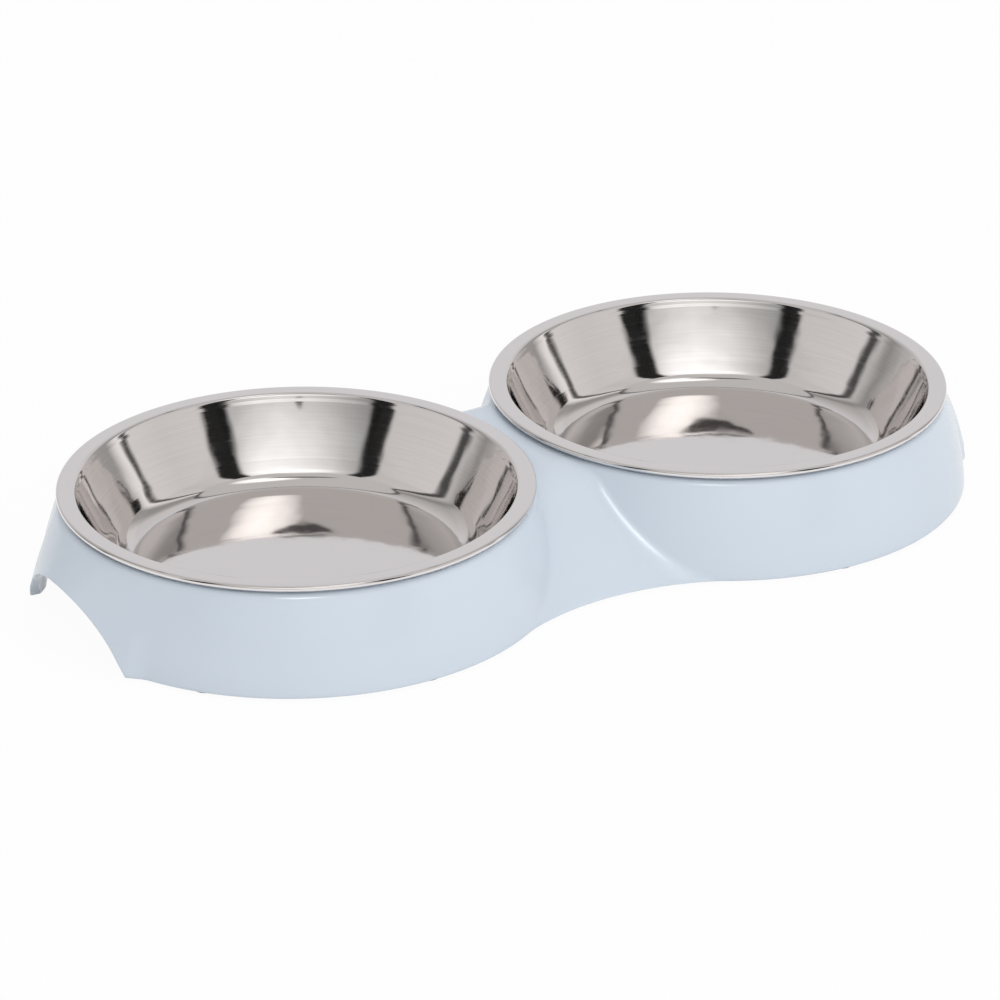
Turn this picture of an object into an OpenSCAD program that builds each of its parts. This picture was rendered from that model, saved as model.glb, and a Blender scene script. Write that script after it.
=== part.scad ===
// Double pet bowl: two round steel bowls that drop into a one-piece waisted stand on rubber feet.
// The long axis is X, the front of the object faces -Y, and the feet rest on the plane Z = 0.

/* [Bowls] */
// Outer diameter of a bowl's rolled rim
rim_d = 160; // [140:1:190]
// Gap between the two rims across the waist
rim_gap = 7.4; // [5:0.2:16]
// Width of the flat flange, from the rim's outside to its inner edge
flange_w = 6.2; // [5:0.1:9]
// Thickness of the rolled bead round the rim
bead_d = 1.9; // [1.5:0.1:2.6]
// Depth of a bowl, from the top of the rim to the edge of its floor
bowl_depth = 28; // [22:0.5:40]
// Diameter at which the wall and the floor would meet in a sharp corner
floor_d = 117; // [90:1:124]
// Radius of the corner between wall and floor
floor_corner_r = 10; // [4:0.5:12]
// Radius of the wall's slight outward curve from its floor to its flange
wall_curve_r = 200; // [150:10:400]
// How far the middle of the floor is pushed up
floor_crown = 1; // [0.4:0.1:2]
// Radius of the edge between flange and wall
lip_r = 1.5; // [1:0.1:2.5]
// Thickness of the steel sheet
sheet_t = 0.7; // [0.5:0.1:0.9]

/* [Stand] */
// Space between a bowl's underside and the plane of the stand's bottom edge
under_gap = 7.5; // [4:0.1:15]
// Wall thickness of the stand
wall_t = 3; // [2:0.1:4]
// How far a bowl's rolled rim overhangs the top of the wall
rim_overhang = 1.5; // [0.8:0.1:2]
// How far the wall leans outward from its top to its bottom edge
lobe_flare = 9; // [5:0.1:12]
// How far the hoods over the finger arches stand out past the round ends
end_lip = 2.3; // [0:0.1:4]
// Rounding of the shoulder under a bowl's rim
shoulder_r = 1.6; // [1:0.1:2]
// Height of the raised ring that a bowl's flange sits on
seat_h = 2; // [1.4:0.1:3]
// Rounding of the stand's bottom edge
base_edge_r = 0.8; // [0.4:0.1:1.2]

/* [Waist] */
// Radius of the hollow curve that joins the two round ends along the bottom edge
waist_r = 88; // [60:1:120]
// Width of the flat top of the bridge
bridge_flat = 45; // [36:0.5:60]
// Radius of the bend from the bridge's flat top to its slopes
bridge_bend_r = 21.3; // [12:0.1:26]
// Radius of the crease between the bridge's slope and a round end
crease_r = 8; // [4:0.5:10]

/* [Finger arches] */
// Width of each finger arch along the bottom edge
arch_w = 70; // [50:1:80]
// Height of each finger arch
arch_h = 20.4; // [14:0.2:24]

/* [Feet] */
// Diameter of a rubber foot
foot_d = 10; // [7:0.5:11]
// How far the feet hold the bottom edge off the floor
foot_proud = 1; // [0.5:0.1:2]
// Depth of the recess that a foot sits in
foot_recess = 2; // [1:0.1:3]
// Diameter of the stem that plugs a foot into the stand
stem_d = 4; // [3:0.5:5]
// Length of that stem above the foot's pad
stem_l = 4; // [2:0.5:5]
// Angle of the two outer feet from the long axis, seen from the middle of their bowl
outer_foot_angle = 40; // [34:1:55]
// Angle of the two inner feet from the long axis
inner_foot_angle = 92; // [80:1:110]

/* [Clearances] */
// Gap under a bowl's flange, where it sits on the stand
seat_clear = 0.3; // [0.2:0.05:0.5]
// Gap between a bowl's wall and the edge of its hole
hole_clear = 0.6; // [0.3:0.1:1]
// Gap round a foot's pad in its recess
foot_clear = 0.1; // [0.05:0.05:0.3]

/* [Hidden] */

// Which end of the object a piece belongs to, and which side of the long axis
LEFT = -1;
RIGHT = 1;
FRONT = -1;
REAR = 1;

// One overrun for every cut
cut = 1;

// Bowl
rim_r = rim_d / 2;
bead_r = bead_d / 2;
flange_r = rim_r - flange_w;
floor_r = floor_d / 2;

// Stand: heights are measured from its bottom edge
bowl_x = rim_r + rim_gap / 2;
stand_h = bowl_depth + under_gap - seat_clear;
bridge_h = stand_h - seat_h;
cavity_h = bridge_h - wall_t;
rim_top = foot_proud + stand_h + seat_clear + sheet_t;
top_r = rim_r - rim_overhang;
base_r = top_r + lobe_flare;
hole_r = flange_r + sheet_t + hole_clear;
// The wall is upright at its bottom edge, and leans in faster than evenly towards its top
wall_power = 1.5;

// Finger arch: a part of a round hole
arch_r = (pow(arch_w / 2, 2) + pow(arch_h, 2)) / (2 * arch_h);

// Hood over each finger arch: it follows a bell a little wider than the arch, and fades out beside it
bell_angle = 26;
bell_power = 1.2;
hood_full_angle = 22;
hood_none_angle = 28;

// Bridge: the hollow curve stops a little short of the round ends, so the crease runs to the bottom edge
waist_dip = 0.4;
bridge_base_y = sqrt(pow(base_r + waist_r, 2) - pow(bowl_x, 2)) - waist_r - waist_dip;
bridge_flat_y = bridge_flat / 2;
bend_z = bridge_h - bridge_bend_r;
bridge_slope = asin(bridge_bend_r / norm([bridge_base_y - bridge_flat_y, bend_z]))
    + atan2(bend_z, bridge_base_y - bridge_flat_y);
// The crease opens to this radius at the bottom edge, by this power of the depth
crease_base_r = 60;
crease_power = 4;
// Share of the tightest possible crease that it may fill
crease_fit_share = 0.8;

// Heights of the outline's rings, as shares of the plain wall's height outside and of the cavity's inside
wall_shares = [0.14, 0.29, 0.44, 0.58, 0.7, 0.81, 0.91, 1];
inner_shares = [0, 0.26, 0.5, 0.72, 0.9, 1];
// Shares of the rounding of the bottom edge, and of the shoulder, at which each has its rings
edge_shares = [0, 0.3, 1];
shoulder_shares = [0.38, 0.71, 0.92, 1];
// Pieces of a quarter outline: round end, the rest of it up to where the crease starts, crease, bridge
lobe_steps = 22;
reach_steps = 6;
crease_steps = 5;
bridge_steps = 4;
// How the round end's pieces grow from its tip, and the share of its least angle that they fill
lobe_power = 1.3;
lobe_share = 0.9;

// Feet: each pad stays this far inside the bottom edge
foot_setback = 1.6;
foot_ring_r = base_r - foot_setback - foot_d / 2;
foot_edge_r = 0.6;
boss_d = foot_d + 2 * wall_t;
boss_h = foot_recess + stem_l + wall_t;
// The bosses stop this far inside the wall's outer face
boss_skin = wall_t / 3;

// The seat ring stays this far inside the top's edge and inside the rolled rim, with a small chamfer
seat_margin = 0.6;
seat_edge = 0.4;

// Facets round the bowls and their holes, round a foot or a boss, and along a finger arch
round_fn = 96;
small_fn = 48;
arch_fn = 36;
// Steps of the arcs in a bowl's section, and of a foot's rounded edge
corner_steps = 8;
wall_steps = 5;
lip_steps = 6;
bead_steps = 24;
foot_edge_steps = 6;

function arc(centre, r, from, to, steps) =
    [for (i = [0:steps]) let (a = from + (to - from) * i / steps) centre + r * [cos(a), sin(a)]];

// Smooth step from 0 to 1
function ease(t) = let (u = min(1, max(0, t))) u * u * (3 - 2 * u);

// Point at height z whose distance from the wall curve's centre is r
function beside_wall(wall_c, r, z) = [wall_c.x + sqrt(r * r - pow(z - wall_c.y, 2)), z];

// How far a rounded edge of radius r is cut in at this height above or below where it ends
function edge_inset(r, d) = d >= r ? 0 : r - sqrt(r * r - (r - d) * (r - d));

// Radius of a round end at height h, without and with the hood
function wall_r(h) = base_r - lobe_flare * pow(h / stand_h, wall_power);
function lobe_r(h) = wall_r(h) - edge_inset(shoulder_r, bridge_h - h) - edge_inset(base_edge_r, h);
function arch_bell(a) = arch_h * pow(max(0, 1 - pow(a / bell_angle, 2)), bell_power);
function hood(h, a) =
    let (
        edge_h = arch_bell(a),
        fade = 1 - ease((abs(a) - hood_full_angle) / (hood_none_angle - hood_full_angle))
    )
    (base_r + end_lip - wall_r(edge_h)) * fade * (stand_h - h) / (stand_h - edge_h);

// Half width of the bridge at height h, for the surface that lies depth inside the outer one
function bridge_y(h, depth) =
    let (r = bridge_bend_r - depth, up = h - bend_z)
    up > r * cos(bridge_slope)
        ? bridge_flat_y + sqrt(max(0, r * r - up * up))
        : bridge_flat_y + (r - up * cos(bridge_slope)) / sin(bridge_slope);

// The curves of a quarter outline at height h: radius of the round end, radius and centre of the hollow
// curve, radius and centre of the crease, and the crease's angles where it meets the round end and the
// hollow curve
function curves(h, depth) =
    let (
        r = (depth > 0 ? wall_r(h) : lobe_r(h)) - depth,
        y = bridge_y(h, depth),
        web_r = waist_r + depth,
        lobe = [bowl_x, 0],
        web = [0, y + web_r],
        tightest = (bowl_x * bowl_x + y * y - r * r) / (2 * (r - y)),
        open = crease_r + depth + (crease_base_r - crease_r) * pow(1 - h / stand_h, crease_power),
        fillet = min(open, crease_fit_share * tightest),
        span = norm(web - lobe),
        along = (web - lobe) / span,
        aside = [-along.y, along.x],
        reach = (pow(r + fillet, 2) - pow(web_r - fillet, 2) + span * span) / (2 * span),
        off = sqrt(max(0, pow(r + fillet, 2) - reach * reach)),
        crease = lobe + reach * along + off * aside
    )
    [r, web_r, web, fillet, crease, atan2(crease.y, crease.x - bowl_x), atan2(crease.y - web.y, crease.x)];

// The round end's points keep the same angles at every height up to this one
lobe_angle = lobe_share * curves(0, 0)[5];

// A quarter of the outline at height h, from the end of the long axis to the middle of the bridge
function quarter(h, depth) =
    let (
        c = curves(h, depth),
        r = c[0], web_r = c[1], web = c[2], fillet = c[3], crease = c[4], lobe_a = c[5], web_a = c[6],
        lobe = [bowl_x, 0]
    )
    concat(
        [for (i = [0:lobe_steps]) let (a = lobe_angle * pow(i / lobe_steps, lobe_power))
            lobe + (r + hood(h, a)) * [cos(a), sin(a)]],
        [for (i = [1:reach_steps]) let (a = lobe_angle + (lobe_a - lobe_angle) * i / reach_steps)
            lobe + r * [cos(a), sin(a)]],
        [for (i = [1:crease_steps])
            let (a = lobe_a + 180 + (web_a + 180 - lobe_a) * i / crease_steps)
            crease + fillet * [cos(a), sin(a)]],
        [for (i = [1:bridge_steps]) let (a = web_a + (-90 - web_a) * i / bridge_steps)
            web + web_r * [cos(a), sin(a)]]
    );

// The whole outline at height h
function ring(h, depth) =
    let (q = quarter(h, depth), n = len(q) - 1)
    concat(
        [for (i = [0:n]) [q[i].x, q[i].y, h]],
        [for (i = [n - 1:-1:0]) [-q[i].x, q[i].y, h]],
        [for (i = [1:n]) [-q[i].x, -q[i].y, h]],
        [for (i = [n - 1:-1:1]) [q[i].x, -q[i].y, h]]
    );

// Rings down the inside of the shell and up its outside
shell_rings = concat(
    [for (i = [len(inner_shares) - 1:-1:0]) ring(cavity_h * inner_shares[i], wall_t)],
    [for (s = edge_shares) ring(base_edge_r * s, 0)],
    [for (s = wall_shares) ring(base_edge_r + (bridge_h - shoulder_r - base_edge_r) * s, 0)],
    [for (s = shoulder_shares) ring(bridge_h - shoulder_r * (1 - s), 0)]
);

// Closed skin through a stack of rings with the same number of points. Each end is closed by strips
// across the long axis, because the waisted outline isn't convex.
module skin(rings) {
    n = len(rings[0]);
    last = len(rings) - 1;
    points = [for (r = rings) for (p = r) p];
    sides = [for (i = [0:last - 1]) for (j = [0:n - 1]) let (k = (j + 1) % n)
        each [[i * n + j, (i + 1) * n + j, (i + 1) * n + k],
            [i * n + j, (i + 1) * n + k, i * n + k]]];
    strips = concat(
        [[0, 1, n - 1]],
        [for (j = [1:n / 2 - 2]) [j, j + 1, n - j - 1, n - j]],
        [[n / 2 - 1, n / 2, n / 2 + 1]]
    );
    last_strips = [for (s = strips) [for (i = [len(s) - 1:-1:0]) last * n + s[i]]];
    polyhedron(points = points, faces = concat(strips, last_strips, sides), convexity = 8);
}

// Place children at each foot of one end, or at one foot
module at_foot(side, angle, face) {
    translate([side * (bowl_x + foot_ring_r * cos(angle)), face * foot_ring_r * sin(angle), 0])
        children();
}

module at_feet() {
    for (side = [LEFT, RIGHT], angle = [outer_foot_angle, inner_foot_angle], face = [FRONT, REAR])
        at_foot(side, angle, face) children();
}

// Outline of a finger arch, run on below the bottom edge
module arch_outline() {
    half_a = asin(arch_w / 2 / arch_r);
    polygon(concat(
        [[arch_w / 2, -cut]],
        arc([0, arch_h - arch_r], arch_r, 90 - half_a, 90 + half_a, arch_fn),
        [[-arch_w / 2, -cut]]
    ));
}

// Raised ring that a bowl's flange sits on, set halfway into the top of the stand
module seat_ring() {
    seat_r = min(lobe_r(bridge_h), rim_r - bead_d) - seat_margin;
    rotate_extrude($fn = round_fn)
    polygon([
        [hole_r, bridge_h - wall_t / 2],
        [seat_r, bridge_h - wall_t / 2],
        [seat_r, stand_h - seat_edge],
        [seat_r - seat_edge, stand_h],
        [hole_r, stand_h]
    ]);
}

// The moulded shell, with holes for the bowls, finger arches, and bosses with sockets for the feet
module shell() {
    difference() {
        union() {
            skin(shell_rings);
            intersection() {
                at_feet() cylinder(d = boss_d, h = boss_h, $fn = small_fn);
                // The bosses end inside the thickness of the wall
                for (side = [LEFT, RIGHT])
                    translate([side * bowl_x, 0, 0])
                    cylinder(r = wall_r(boss_h) - boss_skin, h = stand_h, $fn = round_fn);
            }
        }
        for (side = [LEFT, RIGHT]) {
            translate([side * bowl_x, 0, cavity_h - cut])
                cylinder(r = hole_r, h = wall_t + 2 * cut, $fn = round_fn);
            translate([side * (bowl_x + floor_r), 0, 0])
                rotate([90, 0, side * 90])
                linear_extrude(height = base_r)
                arch_outline();
        }
        at_feet() {
            translate([0, 0, -cut])
                cylinder(d = foot_d + 2 * foot_clear, h = foot_recess + cut, $fn = small_fn);
            cylinder(d = stem_d, h = foot_recess + stem_l, $fn = small_fn);
        }
    }
}

module stand() {
    color([0.84, 0.88, 0.92])
    translate([0, 0, foot_proud]) {
        shell();
        for (side = [LEFT, RIGHT]) translate([side * bowl_x, 0, 0]) seat_ring();
    }
}

// Half section of a bowl: radius against height below the top of the rim. The wall is an arc between the
// sharp corners of the floor and the flange, and the two roundings there run into it without a kink.
module bowl_section() {
    foot = [floor_r, -bowl_depth];
    head = [flange_r, 0];
    chord = norm(head - foot);
    inward = [foot.y - head.y, head.x - foot.x] / chord;
    wall_c = (foot + head) / 2 + inward * sqrt(pow(wall_curve_r, 2) - pow(chord / 2, 2));
    corner_c = beside_wall(wall_c, wall_curve_r - floor_corner_r, -bowl_depth + floor_corner_r);
    lip_c = beside_wall(wall_c, wall_curve_r + lip_r, -lip_r);
    corner_a = atan2(corner_c.y - wall_c.y, corner_c.x - wall_c.x);
    lip_a = atan2(lip_c.y - wall_c.y, lip_c.x - wall_c.x);
    wall_a = (lip_a - corner_a) / wall_steps;
    crown_r = (pow(corner_c.x, 2) + pow(floor_crown, 2)) / (2 * floor_crown);
    crown_a = asin(corner_c.x / crown_r);
    crown_c = [0, -bowl_depth + floor_crown - crown_r];
    bead_c = [rim_r - bead_r, -bead_r];
    bead_end = 180 - asin((bead_r - sheet_t) / bead_r);
    polygon(concat(
        arc(crown_c, crown_r, 90, 90 - crown_a, corner_steps),
        arc(corner_c, floor_corner_r, -90, corner_a, corner_steps),
        arc(wall_c, wall_curve_r, corner_a + wall_a, lip_a - wall_a, wall_steps - 2),
        arc(lip_c, lip_r, 180 + lip_a, 90, lip_steps),
        arc(bead_c, bead_r, 90, bead_end - 360, bead_steps),
        arc(lip_c, lip_r - sheet_t, 90, 180 + lip_a, lip_steps),
        arc(wall_c, wall_curve_r + sheet_t, lip_a - wall_a, corner_a + wall_a, wall_steps - 2),
        arc(corner_c, floor_corner_r + sheet_t, corner_a, -90, corner_steps),
        arc(crown_c, crown_r - sheet_t, 90 - crown_a, 90, corner_steps)
    ));
}

module bowl(side) {
    color([0.78, 0.77, 0.76])
    translate([side * bowl_x, 0, rim_top])
    rotate_extrude($fn = round_fn)
    bowl_section();
}

// Rubber foot: a pad that stands proud of the bottom edge, with a stem that plugs into the stand
module foot(side, angle, face) {
    pad_h = foot_proud + foot_recess;
    color([0.2, 0.2, 0.21])
    at_foot(side, angle, face)
    rotate_extrude($fn = small_fn)
    polygon(concat(
        [[0, 0]],
        arc([foot_d / 2 - foot_edge_r, foot_edge_r], foot_edge_r, -90, 0, foot_edge_steps),
        [[foot_d / 2, pad_h]],
        [[stem_d / 2, pad_h]],
        [[stem_d / 2, pad_h + stem_l - foot_clear]],
        [[0, pad_h + stem_l - foot_clear]]
    ));
}

stand();
bowl(LEFT);  // left_bowl
bowl(RIGHT);  // right_bowl
foot(LEFT, outer_foot_angle, FRONT);  // left_outer_front_foot
foot(LEFT, outer_foot_angle, REAR);  // left_outer_rear_foot
foot(LEFT, inner_foot_angle, FRONT);  // left_inner_front_foot
foot(LEFT, inner_foot_angle, REAR);  // left_inner_rear_foot
foot(RIGHT, outer_foot_angle, FRONT);  // right_outer_front_foot
foot(RIGHT, outer_foot_angle, REAR);  // right_outer_rear_foot
foot(RIGHT, inner_foot_angle, FRONT);  // right_inner_front_foot
foot(RIGHT, inner_foot_angle, REAR);  // right_inner_rear_foot
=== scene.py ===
"""Double pet bowl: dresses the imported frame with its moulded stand, steel bowls and rubber feet."""

import math
from collections import namedtuple

import bmesh
import bpy
from bpy.props import FloatProperty, FloatVectorProperty, IntProperty, PointerProperty
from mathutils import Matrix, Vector


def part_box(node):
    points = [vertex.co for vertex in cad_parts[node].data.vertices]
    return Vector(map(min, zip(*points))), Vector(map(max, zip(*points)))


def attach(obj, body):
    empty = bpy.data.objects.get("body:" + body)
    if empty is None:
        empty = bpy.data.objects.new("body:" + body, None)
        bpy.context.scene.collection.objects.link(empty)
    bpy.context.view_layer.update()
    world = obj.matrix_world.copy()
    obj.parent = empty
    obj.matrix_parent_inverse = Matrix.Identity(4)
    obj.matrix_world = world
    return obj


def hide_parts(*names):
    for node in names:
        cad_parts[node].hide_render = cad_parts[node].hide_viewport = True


bl_info = {
    "name": "Double pet bowl",
    "version": (1, 0, 0),
    "blender": (4, 5, 0),
    "location": "3D View > Sidebar > Pet bowl",
    "description": "Moulded stand, steel bowls, rubber feet and a studio for the double pet bowl",
    "category": "Object",
}

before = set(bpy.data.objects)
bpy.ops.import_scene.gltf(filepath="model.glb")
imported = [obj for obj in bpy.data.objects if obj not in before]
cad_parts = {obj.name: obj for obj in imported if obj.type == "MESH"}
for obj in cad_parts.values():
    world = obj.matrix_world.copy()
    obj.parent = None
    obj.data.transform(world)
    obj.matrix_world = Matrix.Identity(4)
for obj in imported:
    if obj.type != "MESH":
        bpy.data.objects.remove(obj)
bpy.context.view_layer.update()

SIDES = {"left": -1, "right": 1}
FEET = [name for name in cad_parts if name.endswith("_foot")]

STAND_LOW, STAND_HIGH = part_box("stand")
BOWL_LOW, BOWL_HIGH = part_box("right_bowl")
# A bowl's middle, its rim's radius, and the height of the rim's top
BOWL_X = (BOWL_LOW[0] + BOWL_HIGH[0]) / 2
RIM_R = (BOWL_HIGH[0] - BOWL_LOW[0]) / 2
RIM_TOP = BOWL_HIGH[2]
# Heights on the stand are measured from its bottom edge, which the feet hold clear of the table
BASE_Z = STAND_LOW[2]
STAND_H = STAND_HIGH[2] - BASE_Z
FEET_BELOW = BASE_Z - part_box(FEET[0])[0][2]

# Points closer than this are merged; the finer limit is for the stand's shell and for edges of no length
MERGE, FINE_MERGE = 0.000002, 0.000001


def length(name, description, default):
    return FloatProperty(name=name, description=description, default=default, min=0, unit="LENGTH",
                         precision=5)


def angle(name, description, degrees):
    return FloatProperty(name=name, description=description, default=math.radians(degrees), subtype="ANGLE")


def tint(name, description, default):
    return FloatVectorProperty(name=name, description=description, default=default, size=3, min=0, max=1,
                               subtype="COLOR")


class BowlSizes(bpy.types.PropertyGroup):
    flange_w: length("Flange", "Width of the flange, rolled rim included", 0.0062)
    bead_r: length("Rolled rim", "Radius of the rolled rim", 0.00095)
    depth: length("Depth", "From the top of the rim to the edge of the floor", 0.028)
    floor_r: length("Floor", "Radius at which wall and floor would meet in a sharp corner", 0.0585)
    corner_r: length("Corner", "Radius of the corner between wall and floor", 0.01)
    curve_r: length("Wall curve", "Radius of the wall's slight outward curve", 0.2)
    crown: length("Crown", "How far the middle of the floor is pushed up", 0.001)
    lip_r: length("Lip", "Radius of the edge between flange and wall", 0.0015)
    sheet: length("Sheet", "Thickness of the steel", 0.0007)


class StandSizes(bpy.types.PropertyGroup):
    wall: length("Wall", "Thickness of the moulded wall", 0.003)
    overhang: length("Overhang", "How far the rolled rim overhangs the wall's top", 0.0015)
    flare: length("Flare", "How far the wall leans out from its top to its bottom edge", 0.009)
    hood: length("Hood", "How far the hoods over the finger arches stand out", 0.0023)
    shoulder_r: length("Shoulder", "Rounding of the wall's top edge", 0.0016)
    edge_r: length("Bottom edge", "Rounding of the bottom edge", 0.0008)
    seat_h: length("Seat", "Height of the ring that a bowl sits on", 0.002)
    hole_r: length("Hole", "Radius of the hole for a bowl", 0.0751)
    waist_r: length("Waist", "Radius of the hollow curve between the round ends", 0.088)
    bridge_flat: length("Bridge", "Width of the bridge's flat top", 0.045)
    bridge_bend_r: length("Bridge bend", "Radius of the bend beside that flat", 0.0213)
    crease_r: length("Crease", "Radius of the crease between bridge and round end", 0.008)
    arch_w: length("Arch width", "Width of a finger arch along the bottom edge", 0.07)
    arch_h: length("Arch height", "Height of a finger arch", 0.0204)


class FootSizes(bpy.types.PropertyGroup):
    radius: length("Radius", "Radius of a foot's pad", 0.005)
    stem_r: length("Stem", "Radius of the stem that plugs into the stand", 0.002)
    pad_h: length("Pad", "Height of the pad", 0.003)
    edge_r: length("Edge", "Rounding of the pad's edge", 0.0006)
    dish: length("Dish", "Depth of the hollow in the pad's underside", 0.0005)


class Finishes(bpy.types.PropertyGroup):
    plastic: tint("Plastic", "Colour of the stand", (0.597, 0.662, 0.738))
    steel: tint("Steel", "Colour of the bowls", (0.785, 0.755, 0.745))
    rubber: tint("Rubber", "Colour of the feet", (0.035, 0.035, 0.038))


class StageSettings(bpy.types.PropertyGroup):
    azimuth: angle("Azimuth", "Camera's angle round the object, from straight in front", -30.856)
    elevation: angle("Elevation", "Camera's angle above the table", 25.009)
    distance: length("Distance", "From the camera to the point it looks at", 1.5861)
    slide_x: FloatProperty(name="Slide right", description="Camera's shift along the picture's width",
                           default=-0.004127, unit="LENGTH")
    slide_y: FloatProperty(name="Slide up", description="Camera's shift along the picture's height",
                           default=-0.02418, unit="LENGTH")
    lens: FloatProperty(name="Lens", description="Focal length in millimetres on a 36 mm frame",
                        default=167.33)
    floor_size: length("Floor", "Side of the floor", 12.0)


class PetBowlSettings(bpy.types.PropertyGroup):
    bowl: PointerProperty(type=BowlSizes)
    stand: PointerProperty(type=StandSizes)
    foot: PointerProperty(type=FootSizes)
    finish: PointerProperty(type=Finishes)
    stage: PointerProperty(type=StageSettings)


def settings():
    return bpy.context.scene.pet_bowl


# Materials

def new_material(name):
    """A material, its node tree and its Principled shader."""
    material = bpy.data.materials.new(name)
    material.use_nodes = True
    tree = material.node_tree
    return material, tree, tree.nodes["Principled BSDF"]


def node(tree, kind, inputs=None, **values):
    """A new node; its inputs are set by name or number, to a value or from another node's socket."""
    made = tree.nodes.new(kind)
    for key, value in values.items():
        setattr(made, key, value)
    for key, value in (inputs or {}).items():
        socket = made.inputs[key]
        if isinstance(value, bpy.types.NodeSocket):
            tree.links.new(value, socket)
        else:
            socket.default_value = value
    return made


def math_node(tree, operation, *values):
    return node(tree, "ShaderNodeMath", dict(enumerate(values)), operation=operation).outputs[0]


def mapped_range(tree, value, given, result=(0.0, 1.0)):
    """A value carried from one range to another, and kept inside it."""
    ends = {"From Min": given[0], "From Max": given[1], "To Min": result[0], "To Max": result[1]}
    return node(tree, "ShaderNodeMapRange", {"Value": value, **ends}).outputs["Result"]


def mix_colour(tree, factor, one, two, blend="MIX"):
    """Two colours mixed. The node's colour sockets share their names with others, so they go by number."""
    return node(tree, "ShaderNodeMix", {0: factor, 6: one, 7: two}, data_type="RGBA",
                blend_type=blend).outputs[2]


def rgba(colour, scale=1.0):
    return (*(min(1, channel * scale) for channel in colour), 1)


def grey(level):
    return (level, level, level, 1)


def new_group(name, inputs, outputs):
    """A shader node group with float inputs and outputs, its tree, and its two end nodes."""
    group = bpy.data.node_groups.new(name, "ShaderNodeTree")
    for label, default in inputs:
        socket = group.interface.new_socket(label, in_out="INPUT", socket_type="NodeSocketFloat")
        socket.default_value = default
    for label in outputs:
        group.interface.new_socket(label, in_out="OUTPUT", socket_type="NodeSocketFloat")
    return group, node(group, "NodeGroupInput"), node(group, "NodeGroupOutput")


def soft_patches():
    """Node group of slow, soft unevenness and of finer grain, each from 0 to 1, at sizes in metres."""
    name = "soft patches"
    if name in bpy.data.node_groups:
        return bpy.data.node_groups[name]
    sizes = [("Patch size", 0.03), ("Grain size", 0.0006)]
    group, given, result = new_group(name, sizes, ["Patches", "Grain"])
    place = node(group, "ShaderNodeTexCoord").outputs["Object"]
    for size, output, detail in (("Patch size", "Patches", 2), ("Grain size", "Grain", 1)):
        scale = math_node(group, "DIVIDE", 1.0, given.outputs[size])
        noise = node(group, "ShaderNodeTexNoise", {"Vector": place, "Scale": scale, "Detail": detail})
        group.links.new(noise.outputs["Fac"], result.inputs[output])
    return group


def unevenness(tree, patch_size, grain_size):
    """The patches and the grain of one material."""
    made = node(tree, "ShaderNodeGroup", {"Patch size": patch_size, "Grain size": grain_size},
                node_tree=soft_patches())
    return made.outputs["Patches"], made.outputs["Grain"]


def add_bump(tree, shader, height, strength, distance):
    bump = node(tree, "ShaderNodeBump", {"Height": height, "Strength": strength, "Distance": distance})
    tree.links.new(bump.outputs["Normal"], shader.inputs["Normal"])


def plastic_material():
    """Glossy moulded plastic, pale blue, with the faint waviness and swirl of a moulding."""
    colour = settings().finish.plastic
    material, tree, shader = new_material("pale blue plastic")
    patches, grain = unevenness(tree, patch_size=0.045, grain_size=0.0005)
    tone = mix_colour(tree, patches, rgba(colour, 0.985), rgba(colour, 1.015))
    tree.links.new(tone, shader.inputs["Base Color"])
    rough = mapped_range(tree, patches, (0.3, 0.7), (0.16, 0.22))
    rough = math_node(tree, "ADD", rough, mapped_range(tree, grain, (0.3, 0.7), (0.0, 0.03)))
    tree.links.new(rough, shader.inputs["Roughness"])
    height = math_node(tree, "MULTIPLY_ADD", patches, 6.0, grain)
    add_bump(tree, shader, height, strength=0.05, distance=0.00005)
    shader.inputs["IOR"].default_value = 1.45
    return material


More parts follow.
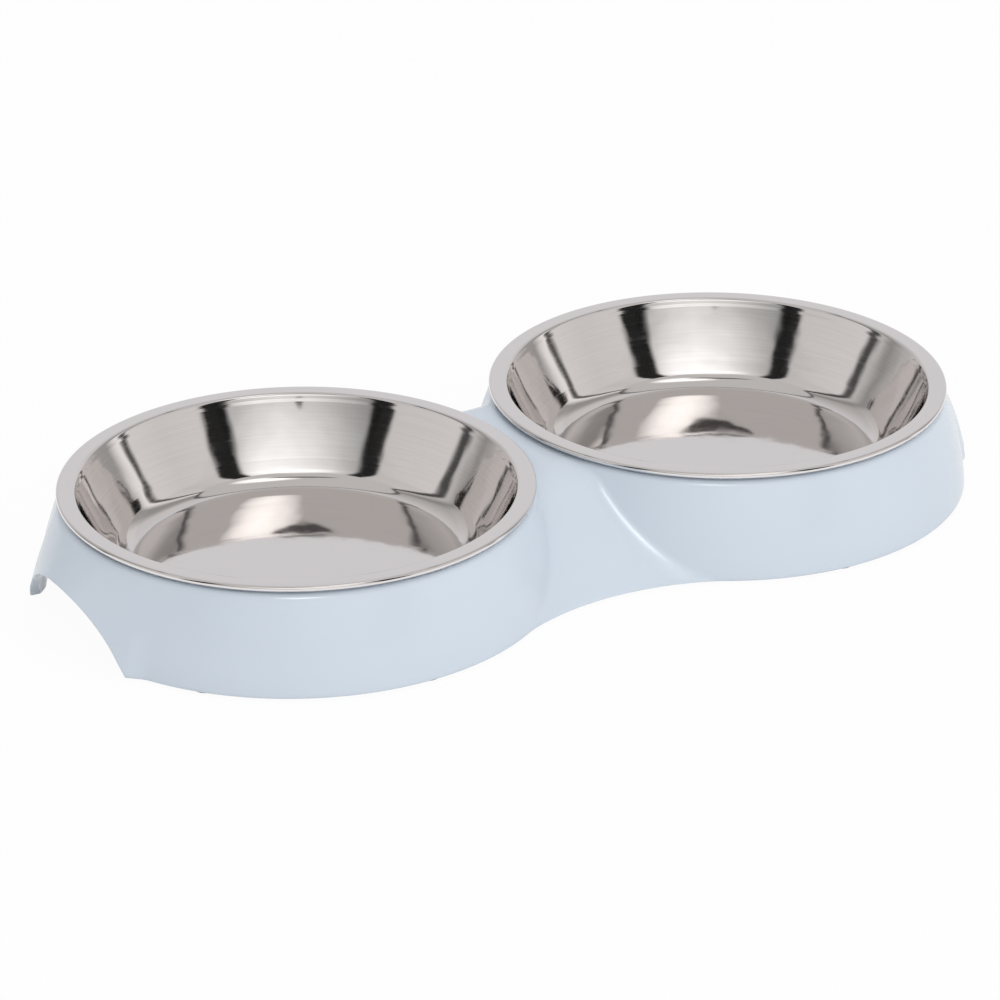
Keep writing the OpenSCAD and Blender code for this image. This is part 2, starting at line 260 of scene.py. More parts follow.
def steel_material():
    """Mirror-polished steel: fine polishing lines round each bowl, with faint ripples and finger haze."""
    colour = settings().finish.steel
    lines_per_metre, lines_per_turn = 1600.0, 2.0
    material, tree, shader = new_material("polished steel")
    point = node(tree, "ShaderNodeTexCoord").outputs["Object"]
    place = node(tree, "ShaderNodeSeparateXYZ", {"Vector": point})
    height = place.outputs["Z"]
    # Both bowls share one pattern: its middle is the same distance from the waist on either side
    across = math_node(tree, "SUBTRACT", math_node(tree, "ABSOLUTE", place.outputs["X"]), BOWL_X)
    along = place.outputs["Y"]
    radius = math_node(tree, "SQRT", math_node(tree, "ADD", math_node(tree, "POWER", across, 2.0),
                                               math_node(tree, "MULTIPLY", along, along)))
    turn = math_node(tree, "ARCTAN2", along, across)
    rings = node(tree, "ShaderNodeCombineXYZ", {
        "X": math_node(tree, "MULTIPLY", radius, lines_per_metre),
        "Y": math_node(tree, "MULTIPLY", height, lines_per_metre),
        "Z": math_node(tree, "MULTIPLY", turn, lines_per_turn)})
    streaks = node(tree, "ShaderNodeTexNoise", {"Vector": rings.outputs[0], "Scale": 1.0, "Detail": 4.0})
    streaks = streaks.outputs["Fac"]
    # The streaks and the ripples are plain on the wall, and nearly polished out on the floor and flange
    on_wall = math_node(tree, "MULTIPLY", mapped_range(tree, height, (0.013, 0.017)),
                        mapped_range(tree, height, (0.0355, 0.0345)))
    lines = math_node(tree, "MULTIPLY_ADD", math_node(tree, "SUBTRACT", streaks, 0.5),
                      mapped_range(tree, on_wall, (0.0, 1.0), (0.12, 1.0)), 0.5)
    patches, grain = unevenness(tree, patch_size=0.022, grain_size=0.004)
    tone = mix_colour(tree, lines, rgba(colour, 0.92), rgba(colour, 1.08))
    tree.links.new(tone, shader.inputs["Base Color"])
    shader.inputs["Metallic"].default_value = 1.0
    rough = math_node(tree, "ADD", mapped_range(tree, lines, (0.35, 0.7), (0.035, 0.09)),
                      mapped_range(tree, grain, (0.55, 0.8), (0.0, 0.04)))
    tree.links.new(rough, shader.inputs["Roughness"])
    ripples = math_node(tree, "MULTIPLY", patches, mapped_range(tree, on_wall, (0.0, 1.0), (55.0, 120.0)))
    add_bump(tree, shader, math_node(tree, "ADD", ripples, lines), strength=1.0, distance=0.0000024)
    return material


def rubber_material():
    """Matt black rubber with a fine moulded grain."""
    colour = settings().finish.rubber
    material, tree, shader = new_material("black rubber")
    patches, grain = unevenness(tree, patch_size=0.003, grain_size=0.00025)
    tone = mix_colour(tree, patches, rgba(colour, 0.8), rgba(colour, 1.3))
    tree.links.new(tone, shader.inputs["Base Color"])
    tree.links.new(mapped_range(tree, grain, (0.2, 0.8), (0.7, 0.9)), shader.inputs["Roughness"])
    add_bump(tree, shader, grain, strength=0.35, distance=0.00006)
    return material


def floor_material():
    """Pale floor that the camera and polished metal see almost white, with the object's soft shadow."""
    glow = 0.95
    material, tree, shader = new_material("pale floor")
    patches, _ = unevenness(tree, patch_size=0.5, grain_size=0.002)
    tree.links.new(mix_colour(tree, patches, grey(0.8), grey(0.83)), shader.inputs["Base Color"])
    shader.inputs["Roughness"].default_value = 0.9
    seen = node(tree, "ShaderNodeLightPath")
    direct = math_node(tree, "MAXIMUM", seen.outputs["Is Camera Ray"], seen.outputs["Is Glossy Ray"])
    direct = math_node(tree, "MAXIMUM", direct, seen.outputs["Is Transmission Ray"])
    white = node(tree, "ShaderNodeEmission", {"Color": grey(1), "Strength": 1.0})
    mixed = node(tree, "ShaderNodeMixShader", {"Fac": math_node(tree, "MULTIPLY", direct, glow)})
    tree.links.new(shader.outputs[0], mixed.inputs[1])
    tree.links.new(white.outputs[0], mixed.inputs[2])
    tree.links.new(mixed.outputs[0], tree.nodes["Material Output"].inputs["Surface"])
    return material


# Meshes

def arc(centre, radius, start, end, steps):
    """Points (radius, height) on an arc, angles in degrees."""
    turns = (math.radians(start + (end - start) * i / steps) for i in range(steps + 1))
    return [(centre[0] + radius * math.cos(turn), centre[1] + radius * math.sin(turn)) for turn in turns]


def lathe(bm, profile, centre, steps):
    """Spin a profile of (radius, height) points round a vertical axis: an eighth, then seven copies."""
    points = [bm.verts.new((centre[0] + radius, centre[1], centre[2] + height))
              for radius, height in profile]
    edges = [bm.edges.new(pair) for pair in zip(points, points[1:])]
    turned = {"cent": centre, "axis": (0, 0, 1), "dvec": (0, 0, 0), "use_merge": False}
    before = set(bm.faces)
    bmesh.ops.spin(bm, geom=points + edges, angle=math.pi / 4, steps=steps // 8, use_duplicate=False,
                   **turned)
    eighth = [face for face in bm.faces if face not in before]
    # Each vertex and edge once, in the order of the faces
    eighth += dict.fromkeys(part for face in eighth for part in (*face.verts, *face.edges))
    bmesh.ops.spin(bm, geom=eighth, angle=math.pi * 7 / 4, steps=7, use_duplicate=True, **turned)


def finish_piece(bm, name, material, sharp_degrees):
    """Make a bmesh into a piece with its material, smooth but for its sharp edges."""
    bmesh.ops.remove_doubles(bm, verts=bm.verts, dist=MERGE)
    bmesh.ops.dissolve_degenerate(bm, edges=bm.edges, dist=FINE_MERGE)
    bmesh.ops.recalc_face_normals(bm, faces=bm.faces)
    mesh = bpy.data.meshes.new(name)
    bm.to_mesh(mesh)
    bm.free()
    for polygon in mesh.polygons:
        polygon.use_smooth = True
    mesh.set_sharp_from_angle(angle=math.radians(sharp_degrees))
    mesh.materials.append(material)
    piece = bpy.data.objects.new(name, mesh)
    bpy.context.scene.collection.objects.link(piece)
    return piece


def ease(value):
    """0 up to 0 and 1 from 1 on, with a smooth rise between."""
    bounded = min(1, max(0, value))
    return bounded * bounded * (3 - 2 * bounded)


# The arcs of a quarter of the stand's outline after the round end: radius and centre of the waist's hollow
# web and of the crease, the angle at which the round end runs into the crease, and the web's first angle
Arcs = namedtuple("Arcs", "web_r web crease_r crease lobe_end web_start")


class StandOutline:
    """The stand's outline at any height over its bottom edge, on its outer face or at a depth inside it."""

    # The wall leans in slowly at the bottom and faster towards the top
    WALL_POWER = 1.5
    # How much further in the waist is than a circle that touches both round ends
    WAIST_DIP = 0.0004
    # The crease opens out towards the bottom edge, most of it low down, and its radius stays under this
    # share of the widest rounding that fits
    CREASE_BASE_R, CREASE_POWER, CREASE_FIT = 0.06, 4, 0.8
    # Angles round the end, in degrees: where the hood's bell shape comes down to the bottom edge, and where
    # the hood begins to fade and is gone
    BELL_ANGLE, BELL_POWER = 26, 1.2
    HOOD_FULL, HOOD_NONE = 22, 28
    # Points of a quarter outline: over the arch, round the end, up to the crease, round it, and on the web
    TIP_STEPS, LOBE_STEPS, REACH_STEPS, CREASE_STEPS, BRIDGE_STEPS = 14, 36, 8, 12, 10
    LOBE_COUNT = TIP_STEPS + LOBE_STEPS + 1 + REACH_STEPS
    # The share of the round end whose points keep their angles at any height, and how they crowd to the arch
    LOBE_SHARE, LOBE_POWER = 0.9, 1.3
    # Rounds in which a point that depends on itself settles
    SETTLING = 8

    def __init__(self, sizes):
        self.sizes = sizes
        self.base_r = RIM_R - sizes.overhang + sizes.flare
        self.top = STAND_H - sizes.seat_h
        self.arch_r = ((sizes.arch_w / 2) ** 2 + sizes.arch_h ** 2) / (2 * sizes.arch_h)
        touching = math.sqrt((self.base_r + sizes.waist_r) ** 2 - BOWL_X ** 2) - sizes.waist_r
        self.flat_y = sizes.bridge_flat / 2
        self.bend_z = self.top - sizes.bridge_bend_r
        run = touching - self.WAIST_DIP - self.flat_y
        bend = math.asin(sizes.bridge_bend_r / math.hypot(run, self.bend_z))
        self.slope = bend + math.atan2(self.bend_z, run)
        self.lobe_angle = self.LOBE_SHARE * self.arcs(0, 0).lobe_end

    def wall_r(self, height):
        """Radius of a round end's outer face, without its rounded top edge."""
        return self.base_r - self.sizes.flare * max(0, height / STAND_H) ** self.WALL_POWER

    def lobe_r(self, height, depth):
        """Radius of a round end, with its rounded top edge on the outer face."""
        if depth > 0:
            return self.wall_r(height) - depth
        rounding, below = self.sizes.shoulder_r, self.top - height
        inset = 0
        if below < rounding:
            inset = rounding - math.sqrt(max(0, rounding ** 2 - (rounding - below) ** 2))
        return self.wall_r(height) - inset

    def hood(self, height, turn):
        """How far the hood over the finger arch stands out from the round end."""
        degrees = abs(math.degrees(turn))
        edge = self.sizes.arch_h * max(0, 1 - (degrees / self.BELL_ANGLE) ** 2) ** self.BELL_POWER
        fade = 1 - ease((degrees - self.HOOD_FULL) / (self.HOOD_NONE - self.HOOD_FULL))
        reach = self.base_r + self.sizes.hood - self.wall_r(edge)
        return reach * fade * (STAND_H - height) / (STAND_H - edge)

    def bridge_y(self, height, depth):
        """Half the bridge's width: a flat top, a bend, and a straight slope down to the waist."""
        radius, up = self.sizes.bridge_bend_r - depth, height - self.bend_z
        if up > radius * math.cos(self.slope):
            return self.flat_y + math.sqrt(max(0, radius ** 2 - up ** 2))
        return self.flat_y + (radius - up * math.cos(self.slope)) / math.sin(self.slope)

    def arcs(self, height, depth):
        radius, y = self.lobe_r(height, depth), self.bridge_y(height, depth)
        web_r = self.sizes.waist_r + depth
        lobe, web = Vector((BOWL_X, 0)), Vector((0, y + web_r))
        widest = (BOWL_X ** 2 + y ** 2 - radius ** 2) / (2 * (radius - y))
        crease_r = self.sizes.crease_r
        opening = (self.CREASE_BASE_R - crease_r) * (1 - height / STAND_H) ** self.CREASE_POWER
        fillet = min(crease_r + depth + opening, self.CREASE_FIT * widest)
        span = (web - lobe).length
        ahead = (web - lobe) / span
        aside = Vector((-ahead.y, ahead.x))
        reach = ((radius + fillet) ** 2 - (web_r - fillet) ** 2 + span ** 2) / (2 * span)
        off = math.sqrt(max(0, (radius + fillet) ** 2 - reach ** 2))
        crease = lobe + reach * ahead + off * aside
        return Arcs(web_r, web, fillet, crease, math.degrees(math.atan2(crease.y, crease.x - BOWL_X)),
                    math.degrees(math.atan2(crease.y - web.y, crease.x)))

    def corner(self, depth):
        """Angle at which the finger arch meets the bottom edge."""
        turn = 0
        for _ in range(self.SETTLING):
            turn = math.asin(self.sizes.arch_w / 2 / (self.lobe_r(0, depth) + self.hood(0, turn)))
        return turn

    def turns(self, height, depth):
        """Angles of the round end's points, one of them at the corner of the finger arch."""
        corner, last = math.degrees(self.corner(depth)), self.arcs(height, depth).lobe_end
        tip = [corner * i / self.TIP_STEPS for i in range(self.TIP_STEPS)]
        side = [corner + (self.lobe_angle - corner) * (i / self.LOBE_STEPS) ** self.LOBE_POWER
                for i in range(self.LOBE_STEPS + 1)]
        reach = [self.lobe_angle + (last - self.lobe_angle) * i / self.REACH_STEPS
                 for i in range(1, self.REACH_STEPS + 1)]
        return [math.radians(turn) for turn in tip + side + reach]

    def lobe_point(self, height, depth, index):
        turn = self.turns(height, depth)[index]
        radius = self.lobe_r(height, depth) + self.hood(height, turn)
        return Vector((BOWL_X + radius * math.cos(turn), radius * math.sin(turn)))

    def arch_z(self, y):
        """Height of the finger arch's edge, at a distance from its middle."""
        return self.sizes.arch_h - self.arch_r + math.sqrt(max(0, self.arch_r ** 2 - y ** 2))

    def quarter_floor(self, depth):
        """Height of the bottom edge or the arch's edge for each point of a quarter outline."""
        floor = [0.0] * (self.LOBE_COUNT + self.CREASE_STEPS + self.BRIDGE_STEPS)
        for index in range(self.TIP_STEPS):
            for _ in range(self.SETTLING):
                floor[index] = max(0, self.arch_z(self.lobe_point(floor[index], depth, index).y))
        return floor

    def quarter(self, heights, depth):
        """A quarter of the outline, with a height of its own for each point."""
        points = []
        for index, height in enumerate(heights):
            arcs, past_lobe = self.arcs(height, depth), index - self.LOBE_COUNT + 1
            if past_lobe <= 0:
                point = self.lobe_point(height, depth, index)
            elif past_lobe <= self.CREASE_STEPS:
                step = past_lobe / self.CREASE_STEPS
                turn = math.radians(arcs.lobe_end + 180 + (arcs.web_start + 180 - arcs.lobe_end) * step)
                point = arcs.crease + arcs.crease_r * Vector((math.cos(turn), math.sin(turn)))
            else:
                step = (past_lobe - self.CREASE_STEPS) / self.BRIDGE_STEPS
                turn = math.radians(arcs.web_start + (-90 - arcs.web_start) * step)
                point = arcs.web + arcs.web_r * Vector((math.cos(turn), math.sin(turn)))
            points.append((point.x, point.y, height))
        return points

    def ring(self, floor, share, top, depth):
        """The whole outline, each point at its share of the way from its own bottom edge to the top."""
        heights = [low + (top - low) * share for low in floor]
        quarter = self.quarter(heights, depth)
        last = len(quarter) - 1
        return (quarter + [(-x, y, z) for x, y, z in quarter[last - 1::-1]]
                + [(-x, -y, z) for x, y, z in quarter[1:]]
                + [(x, -y, z) for x, y, z in quarter[last - 1:0:-1]])


def ring_edges(bm, ring):
    return [bm.edges.get((one, two)) for one, two in zip(ring, ring[1:] + ring[:1])]


def grow(bm, ring, points):
    """Extrude a closed ring of vertices and move the new ring to these points."""
    made = bmesh.ops.extrude_edge_only(bm, edges=ring_edges(bm, ring))["geom"]
    fresh = {part for part in made if isinstance(part, bmesh.types.BMVert)}
    grown = []
    for vert, point in zip(ring, points):
        mate = next(edge.other_vert(vert) for edge in vert.link_edges if edge.other_vert(vert) in fresh)
        mate.co = (point[0], point[1], BASE_Z + point[2])
        grown.append(mate)
    return grown


def circle_edges(bm, centre_x, radius, height):
    """Edges of the open circle that a lathe left at this radius and height."""
    def on_circle(vert):
        return (abs(vert.co.z - height) < MERGE
                and abs(math.hypot(vert.co.x - centre_x, vert.co.y) - radius) < MERGE)
    return [edge for edge in bm.edges if edge.is_boundary and all(on_circle(vert) for vert in edge.verts)]


def add_seats(bm, outline, cavity):
    """The raised ring round each hole that a bowl sits on, and the hole's edge. Gives the ring's radius."""
    steps, edge, bead_w, clear = 192, 0.0004, 0.0019, 0.0006
    hole_r = outline.sizes.hole_r
    seat_r = min(outline.lobe_r(outline.top, 0), RIM_R - bead_w) - clear
    for side in SIDES.values():
        profile = ([(seat_r, outline.top)] + arc((seat_r - edge, STAND_H - edge), edge, 0, 90, 5)
                   + arc((hole_r + edge, STAND_H - edge), edge, 90, 180, 5)
                   + [(hole_r, (STAND_H + cavity) / 2), (hole_r, cavity)])
        lathe(bm, profile, (side * BOWL_X, 0, BASE_Z), steps)
    return seat_r


def stand_mesh(sizes):
    """The moulded shell: from its ceiling down the inside, round the bottom edge and up the outside."""
    inner_shares = [1, 0.94, 0.86, 0.76, 0.65, 0.54, 0.43, 0.32, 0.21, 0.1, 0]
    wall_steps, shoulder_steps = 18, 7
    outline = StandOutline(sizes)
    cavity = outline.top - sizes.wall
    inner_floor, outer_floor = outline.quarter_floor(sizes.wall), outline.quarter_floor(0)
    plain = (outline.top - sizes.shoulder_r) / outline.top
    outer_shares = [plain * i / wall_steps for i in range(1, wall_steps + 1)]
    outer_shares += [1 - (1 - plain) * (1 - math.sin(math.radians(90 * i / shoulder_steps)))
                     for i in range(1, shoulder_steps + 1)]
    bm = bmesh.new()
    first = outline.ring(inner_floor, inner_shares[0], cavity, sizes.wall)
    ceiling = bmesh.ops.create_circle(bm, cap_ends=False, segments=len(first), radius=0.1)["verts"]
    for vert, point in zip(ceiling, first):
        vert.co = (point[0], point[1], BASE_Z + point[2])
    ring = ceiling
    for share in inner_shares[1:]:
        ring = grow(bm, ring, outline.ring(inner_floor, share, cavity, sizes.wall))
    ring = bottom = grow(bm, ring, outline.ring(outer_floor, 0, outline.top, 0))
    for share in outer_shares:
        ring = grow(bm, ring, outline.ring(outer_floor, share, outline.top, 0))
    seat_r = add_seats(bm, outline, cavity)
    bmesh.ops.remove_doubles(bm, verts=bm.verts, dist=FINE_MERGE)
    # The top and the ceiling fill the space between the wall and the two holes
    for ends, radius, height in ((ring, seat_r, outline.top), (ceiling, sizes.hole_r, cavity)):
        edges = ring_edges(bm, ends)
        for side in SIDES.values():
            edges += circle_edges(bm, side * BOWL_X, radius, BASE_Z + height)
        bmesh.ops.triangle_fill(bm, edges=edges, use_beauty=True, use_dissolve=False)
    bmesh.ops.bevel(bm, geom=ring_edges(bm, bottom), offset=sizes.edge_r, offset_type="OFFSET", segments=4,
                    profile=0.5, affect="EDGES", material=-1, clamp_overlap=True)
    return bm


def add_bosses(bm, sizes, foot, outline):
    """The bosses that hold the feet, each with its socket, and none of them past the stand's outer face."""
    boss_h, edge, lift, clear, steps = 0.009, 0.0004, 0.00015, 0.0001, 48
    boss_r, socket_r, depth = foot.radius + sizes.wall, foot.radius + clear, foot.pad_h - FEET_BELOW
    limit = outline.wall_r(boss_h) - sizes.wall / 3
    for name in FEET:
        low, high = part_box(name)
        centre = ((low[0] + high[0]) / 2, (low[1] + high[1]) / 2, BASE_Z)
        boss = bmesh.new()
        profile = ([(0, depth), (socket_r, depth), (socket_r, lift)]
                   + arc((boss_r - edge, lift + edge), edge, -90, 0, 4)
                   + [(boss_r, boss_h / 2)] + arc((boss_r - edge, boss_h - edge), edge, 0, 90, 4)
                   + [(0, boss_h)])
        lathe(boss, profile, centre, steps)
        axis = math.copysign(BOWL_X, centre[0])
        for vert in boss.verts:
            reach = math.hypot(vert.co.x - axis, vert.co.y)
            if reach > limit:
                vert.co.x = axis + (vert.co.x - axis) * limit / reach
                vert.co.y *= limit / reach
        bmesh.ops.remove_doubles(boss, verts=boss.verts, dist=MERGE)
        bmesh.ops.recalc_face_normals(boss, faces=boss.faces)
        spare = bpy.data.meshes.new("boss")
        boss.to_mesh(spare)
        boss.free()
        bm.from_mesh(spare)
        bpy.data.meshes.remove(spare)


def bowl_profile(sizes):
    """Closed half section of a bowl: radius, and height from the top of the rim."""
    wall_steps = 12
    foot, head = Vector((sizes.floor_r, -sizes.depth)), Vector((RIM_R - sizes.flange_w, 0))
    chord = head - foot
    inward = Vector((-chord.y, chord.x)).normalized()
    wall = (foot + head) / 2 + inward * math.sqrt(sizes.curve_r ** 2 - chord.length_squared / 4)

    def beside_wall(distance, height):
        """Centre of a rounding that runs into the wall's curve, and its angle from the curve's centre."""
        centre = Vector((wall.x + math.sqrt(distance ** 2 - (height - wall.y) ** 2), height))
        return centre, math.degrees(math.atan2(height - wall.y, centre.x - wall.x))

    corner, low = beside_wall(sizes.curve_r - sizes.corner_r, -sizes.depth + sizes.corner_r)
    lip, high = beside_wall(sizes.curve_r + sizes.lip_r, -sizes.lip_r)
    step = (high - low) / (wall_steps + 2)
    crown_r = (corner.x ** 2 + sizes.crown ** 2) / (2 * sizes.crown)
    crown_a = math.degrees(math.asin(corner.x / crown_r))
    crown = (0, -sizes.depth + sizes.crown - crown_r)
    bead = (RIM_R - sizes.bead_r, -sizes.bead_r)
    bead_end = 180 - math.degrees(math.asin((sizes.bead_r - sizes.sheet) / sizes.bead_r))
    inside = (arc(crown, crown_r, 90, 90 - crown_a, 24)
              + arc(corner, sizes.corner_r, -90, low, 24)[1:]
              + arc(wall, sizes.curve_r, low + step, high - step, wall_steps)
              + arc(lip, sizes.lip_r, 180 + high, 90, 12))
    outside = (arc(bead, sizes.bead_r, 90, bead_end - 360, 40)
               + arc(lip, sizes.lip_r - sizes.sheet, 90, 180 + high, 10)
               + arc(wall, sizes.curve_r + sizes.sheet, high - step, low + step, wall_steps)
               + arc(corner, sizes.corner_r + sizes.sheet, low, -90, 20)
               + arc(crown, crown_r - sizes.sheet, 90 - crown_a, 90, 20)[1:])
    return inside + outside


def foot_profile(sizes, stem_h):
    """Half section of a rubber foot, with a shallow hollow in the face that stands on the floor."""
    tread_w, hollow_share, pad_edge, stem_edge = 0.0008, 0.6, 0.0003, 0.0004
    hollow_r = sizes.radius - sizes.edge_r - tread_w
    return ([(0, sizes.dish), (hollow_r * hollow_share, sizes.dish), (hollow_r, 0.0)]
            + arc((sizes.radius - sizes.edge_r, sizes.edge_r), sizes.edge_r, -90, 0, 8)
            + arc((sizes.radius - pad_edge, sizes.pad_h - pad_edge), pad_edge, 0, 90, 4)
            + [(sizes.stem_r, sizes.pad_h)]
            + arc((sizes.stem_r - stem_edge, stem_h - stem_edge), stem_edge, 0, 90, 4) + [(0, stem_h)])


def glint_pieces():
    """The collection of pieces that the glint lamp lights."""
    name = "pieces with a glint"
    return bpy.data.collections.get(name) or bpy.data.collections.new(name)


# What polished metal sees round it, from one side of the back wall round by the camera to the other: each
# fitting of the studio with its colour cast, and its levels at angles in degrees from straight towards the
# camera, positive to the picture's right
BOX, WALL, BACK = (1, 1, 0.99), (1, 0.98, 0.965), (1, 0.995, 1.02)
STUDIO = (
    ("back wall, left", BACK, (-180, 0.75), (-165, 0.75)),
    ("far left corner", WALL, (-144, 0.64), (-122, 0.5), (-112, 0.3), (-103, 0.6)),
    ("left gap", WALL, (-100, 0.08), (-96, 0.08)),
    ("left wall", WALL, (-93, 0.74), (-53, 0.68)),
    ("left flag", BOX, (-50.5, 0.02), (-41, 0.02)),
    ("soft box", BOX, (-37.5, 0.52), (-27, 0.68), (-9, 0.97), (12, 1.18), (24, 1.1), (38, 0.86)),
    ("right flag", BOX, (41.5, 0.02), (54, 0.02)),
    ("right wall", WALL, (56.5, 0.74), (80, 0.7), (100, 0.77)),
    ("right gap", WALL, (102, 0.1), (105, 0.1)),
    ("far right corner", WALL, (107, 1), (110.5, 0.8), (116.5, 0.36), (128, 0.4), (142, 0.72)),
    ("back wall, right", BACK, (165, 0.75), (180, 0.75)))


# Operators: one for each kind of piece, and one for the stage

class PETBOWL_OT_stand(bpy.types.Operator):
    """Build the moulded stand"""
    bl_idname = "pet_bowl.stand"
    bl_label = "Stand"

    def execute(self, context):
        sizes = settings().stand
        bm = stand_mesh(sizes)
        add_bosses(bm, sizes, settings().foot, StandOutline(sizes))
        piece = finish_piece(bm, "moulded_stand", plastic_material(), sharp_degrees=35)
        glint_pieces().objects.link(piece)
        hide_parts("stand")
        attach(piece, "stand_body")
        return {"FINISHED"}


class PETBOWL_OT_bowls(bpy.types.Operator):
    """Build the steel bowls"""
    bl_idname = "pet_bowl.bowls"
    bl_label = "Bowls"
    steps: IntProperty(name="Steps", description="Pieces round a bowl", default=288)

    def execute(self, context):
        material = steel_material()
        for name, side in SIDES.items():
            bm = bmesh.new()
            lathe(bm, bowl_profile(settings().bowl), (side * BOWL_X, 0, RIM_TOP), self.steps)
            piece = finish_piece(bm, f"{name}_steel_bowl", material, sharp_degrees=50)
            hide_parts(f"{name}_bowl")
            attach(piece, f"{name}_bowl_body")
        return {"FINISHED"}


class PETBOWL_OT_feet(bpy.types.Operator):
    """Build the rubber feet"""
    bl_idname = "pet_bowl.feet"
    bl_label = "Feet"
    steps: IntProperty(name="Steps", description="Pieces round a foot", default=64)

    def execute(self, context):
        material = rubber_material()
        for name in FEET:
            low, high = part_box(name)
            centre = ((low[0] + high[0]) / 2, (low[1] + high[1]) / 2, low[2])
            bm = bmesh.new()
            lathe(bm, foot_profile(settings().foot, high[2] - low[2]), centre, self.steps)
            piece = finish_piece(bm, f"rubber_{name}", material, sharp_degrees=50)
            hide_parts(name)
            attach(piece, "stand_body")
        return {"FINISHED"}


class PETBOWL_OT_stage(bpy.types.Operator):
    """Build the floor, the lights and the camera"""
    bl_idname = "pet_bowl.stage"
    bl_label = "Stage"

    def execute(self, context):
        stage = settings().stage
        self.add_floor(stage)
        self.add_world(stage)
        self.add_lamp("key", place=(-0.02, -1.5, 0.85), size=(1.3, 1.0), watts=8.5)
        self.add_lamp("top", place=(0.35, -0.3, 1.75), size=(1.2, 1.2), watts=3.2)
        self.add_lamp("glint", place=(-0.563, -0.941, 1.023), size=(0.36, 0.36), watts=4.4, glint_only=True)
        self.add_camera(context, stage)
        context.scene.view_settings.view_transform = "Standard"
        return {"FINISHED"}

    def add_floor(self, stage):
        bm = bmesh.new()
        bmesh.ops.create_grid(bm, x_segments=2, y_segments=2, size=stage.floor_size / 2)
        floor = finish_piece(bm, "floor", floor_material(), sharp_degrees=30)

    def add_world(self, stage):
        """White to the camera, plain light for shading, and a studio that reflections alone see."""
        bulb_level, floor_level, camera_level, shading_level = 1.4, 0.72, 0.2, 0.78
        world = bpy.data.worlds.new("studio")
        bpy.context.scene.world = world
        world.use_nodes = True
        tree = world.node_tree
        background = tree.nodes["Background"]
        place = node(tree, "ShaderNodeTexCoord").outputs["Generated"]
        facing = node(tree, "ShaderNodeMapping", {"Rotation": (0, 0, -stage.azimuth), "Vector": place})
        facing = facing.outputs[0]
        way = node(tree, "ShaderNodeSeparateXYZ", {"Vector": facing})
        # Angle from straight towards the camera, positive to the picture's right, and height in degrees
        towards = math_node(tree, "MULTIPLY", way.outputs["Y"], -1.0)
        turned = math_node(tree, "DEGREES", math_node(tree, "ARCTAN2", way.outputs["X"], towards))
        aside = math_node(tree, "ABSOLUTE", turned)
        height = math_node(tree, "DEGREES", math_node(tree, "ARCSINE", way.outputs["Z"]))
        sky = self.walls(tree, turned, aside, height)
        sky = self.ceiling(tree, sky, way, aside, height)
        # The soft box is brightest round its bulb
        bulb = self.blob(tree, way, middle=(0.08, -0.66), size=(0.32, 0.11), outer=1.8, inner=0.0)
        bulb = math_node(tree, "MULTIPLY", bulb, mapped_range(tree, height, (0.0, 20.0)))
        sky = mix_colour(tree, bulb, sky, grey(bulb_level))
        # Below the horizon it sees the studio's floor
        below = mapped_range(tree, height, (-2.0, 3.0), (1.0, 0.0))
        sky = mix_colour(tree, below, sky, grey(floor_level))
        sky = mix_colour(tree, self.camera_spot(tree, facing, stage), sky, grey(camera_level))
        seen = node(tree, "ShaderNodeLightPath")
        plain = mix_colour(tree, seen.outputs["Is Camera Ray"], grey(shading_level), grey(1))
        light = mix_colour(tree, seen.outputs["Is Glossy Ray"], plain, sky)
        tree.links.new(light, background.inputs["Color"])
        background.inputs["Strength"].default_value = 1.0

    def walls(self, tree, turned, aside, height):
        """The fittings all round, the soft box brighter towards its top and the walls a little darker."""
        ramp = node(tree, "ShaderNodeValToRGB", {"Fac": mapped_range(tree, turned, (-180.0, 180.0))})
        shades = ramp.color_ramp.elements
        stops = [(degrees, level, cast) for _, cast, *levels in STUDIO for degrees, level in levels]
        # A new ramp already has its first and last stop
        for degrees, _, _ in stops[1:-1]:
            shades.new((degrees + 180) / 360)
        for shade, (_, level, cast) in zip(shades, stops):
            shade.color = (*(level * channel for channel in cast), 1)
        box_light = mapped_range(tree, height, (25.0, 40.0), (0.66, 1.17))
        wall_light = mapped_range(tree, height, (28.0, 31.5), (1.0, 0.92))
        light = mix_colour(tree, mapped_range(tree, aside, (45.0, 46.0)), box_light, wall_light)
        return mix_colour(tree, 1.0, ramp.outputs["Color"], light, blend="MULTIPLY")

    def ceiling(self, tree, sky, way, aside, height):
        """The gap between back wall and ceiling, and the ceiling with its lamp and hatch, over a sky."""
        gap = math_node(tree, "MULTIPLY", mapped_range(tree, height, (57.2, 57.8)),
                        mapped_range(tree, aside, (97.0, 103.0)))
        sky = mix_colour(tree, gap, sky, grey(0.1))
        lamp = self.blob(tree, way, middle=(0.21, -0.16), size=(0.15, 0.1), outer=2.6, inner=0.0)
        ceiling = mix_colour(tree, lamp, (0.6, 0.59, 0.58, 1), (1.7, 1.68, 1.65, 1))
        hatch = self.blob(tree, way, middle=(-0.02, -0.262), size=(0.25, 0.038), outer=1.1, inner=0.6)
        ceiling = mix_colour(tree, hatch, ceiling, (0.07, 0.065, 0.065, 1))
        # It begins lower above the camera's side than above the back wall
        edge = mapped_range(tree, aside, (90.0, 100.0), (53.0, 58.5))
        share = mapped_range(tree, math_node(tree, "SUBTRACT", height, edge), (0.0, 1.5))
        return mix_colour(tree, share, sky, ceiling)

    def camera_spot(self, tree, facing, stage):
        """1 in the small round patch of the studio that the dark camera itself fills."""
        lens_way = (0, -math.cos(stage.elevation), math.sin(stage.elevation))
        spot = node(tree, "ShaderNodeVectorMath", {0: facing, 1: lens_way}, operation="DOT_PRODUCT")
        edge, middle = math.cos(math.radians(3.2)), math.cos(math.radians(1.6))
        return mapped_range(tree, spot.outputs["Value"], (edge, middle))

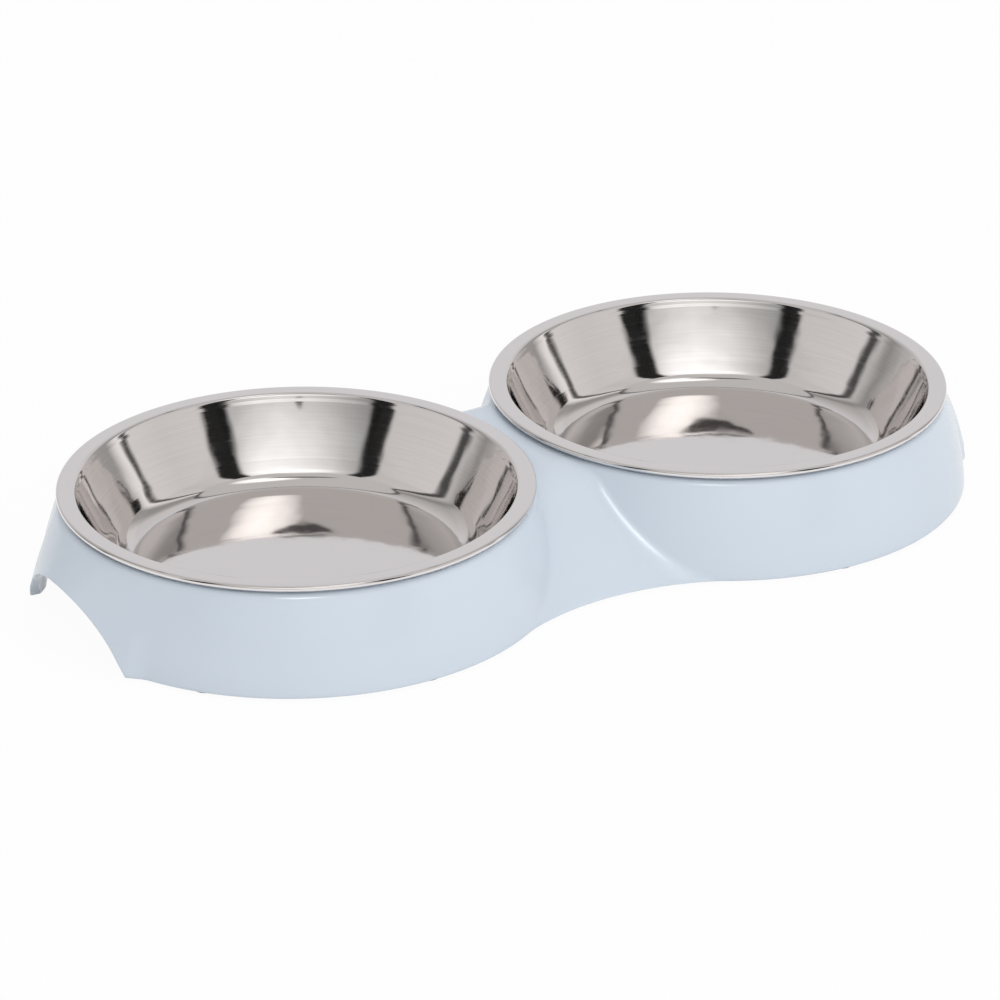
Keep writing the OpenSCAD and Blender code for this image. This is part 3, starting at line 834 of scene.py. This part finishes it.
    def blob(self, tree, way, middle, size, outer, inner):
        """1 in a soft oval of directions, given by their parts sideways and away from the camera, else 0."""
        away = [math_node(tree, "DIVIDE", math_node(tree, "SUBTRACT", way.outputs[axis], centre), extent)
                for axis, centre, extent in zip("XY", middle, size)]
        reach = math_node(tree, "ADD", *(math_node(tree, "POWER", part, 2.0) for part in away))
        return mapped_range(tree, reach, (outer, inner))

    def add_lamp(self, name, place, size, watts, glint_only=False):
        """A soft lamp for shading, or for a glint on plastic: what metal mirrors is in the world's light."""
        data = bpy.data.lights.new(name, "AREA")
        data.shape = "RECTANGLE"
        data.size, data.size_y = size
        data.energy = watts
        lamp = bpy.data.objects.new(name, data)
        lamp.location = place
        lamp.rotation_euler = (-Vector(place)).to_track_quat("-Z", "Y").to_euler()
        lamp.visible_glossy, lamp.visible_diffuse = glint_only, not glint_only
        if glint_only:
            lamp.light_linking.receiver_collection = glint_pieces()
        bpy.context.scene.collection.objects.link(lamp)

    def add_camera(self, context, stage):
        """The photograph's camera, aimed at the object's middle at rim height and moved by its slides."""
        turn, rise = stage.azimuth, stage.elevation
        back = Vector((math.sin(turn) * math.cos(rise), -math.cos(turn) * math.cos(rise), math.sin(rise)))
        right = Vector((math.cos(turn), math.sin(turn), 0))
        up = back.cross(right)
        data = bpy.data.cameras.new("camera")
        data.sensor_width = 36
        data.lens = stage.lens
        data.clip_end = 50
        camera = bpy.data.objects.new("camera", data)
        camera.location = (right * stage.slide_x + up * stage.slide_y + back * stage.distance
                           + Vector((0, 0, RIM_TOP)))
        camera.rotation_euler = (-back).to_track_quat("-Z", "Y").to_euler()
        context.scene.collection.objects.link(camera)
        context.scene.camera = camera


OPERATORS = (PETBOWL_OT_stage, PETBOWL_OT_stand, PETBOWL_OT_bowls, PETBOWL_OT_feet)


class PETBOWL_PT_panel(bpy.types.Panel):
    """The pet bowl's pieces and sizes"""
    bl_idname = "PETBOWL_PT_panel"
    bl_label = "Pet bowl"
    bl_space_type = "VIEW_3D"
    bl_region_type = "UI"
    bl_category = "Pet bowl"

    def draw(self, context):
        layout = self.layout
        for operator in OPERATORS:
            layout.operator(operator.bl_idname)
        for part in ("bowl", "stand", "foot", "finish", "stage"):
            group = getattr(context.scene.pet_bowl, part)
            box = layout.box()
            box.label(text=part.capitalize())
            for name in group.bl_rna.properties.keys():
                if name not in ("rna_type", "name"):
                    box.prop(group, name)


CLASSES = (BowlSizes, StandSizes, FootSizes, Finishes, StageSettings, PetBowlSettings, *OPERATORS,
           PETBOWL_PT_panel)


def register():
    for cls in CLASSES:
        bpy.utils.register_class(cls)
    bpy.types.Scene.pet_bowl = PointerProperty(type=PetBowlSettings)


def unregister():
    del bpy.types.Scene.pet_bowl
    for cls in reversed(CLASSES):
        bpy.utils.unregister_class(cls)


def main():
    register()
    bpy.ops.pet_bowl.stage()
    bpy.ops.pet_bowl.stand()
    bpy.ops.pet_bowl.bowls()
    bpy.ops.pet_bowl.feet()


if __name__ == "__main__":
    main()
